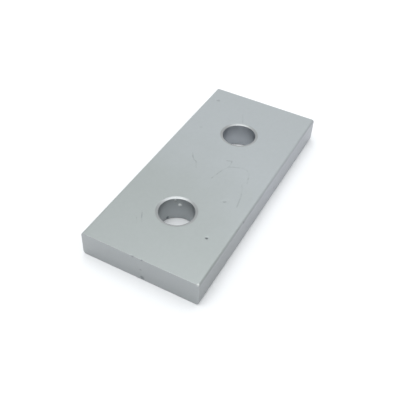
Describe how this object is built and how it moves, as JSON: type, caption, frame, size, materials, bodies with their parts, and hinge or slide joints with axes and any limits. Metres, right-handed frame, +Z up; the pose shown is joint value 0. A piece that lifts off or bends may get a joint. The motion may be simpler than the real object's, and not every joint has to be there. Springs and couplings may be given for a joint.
{
  "type": "extrusion joining plate",
  "caption": "Flat rectangular aluminium plate with through holes on its centre line, screwed across the joint between lengths of slotted extrusion.",
  "frame": {"origin": "centre of the flat underside, the face that seats on the extrusions", "axes": "+X along the plate's length, +Y across its width, +Z up out of the top face, against the direction the screws go in"},
  "size_m": [0.04, 0.018, 0.004],
  "materials": {
    "anodised_aluminium": "clear satin anodised, fine even matt"
  },
  "bodies": {
    "root": {"joining_plate": "anodised_aluminium"}
  },
  "joints": []
}
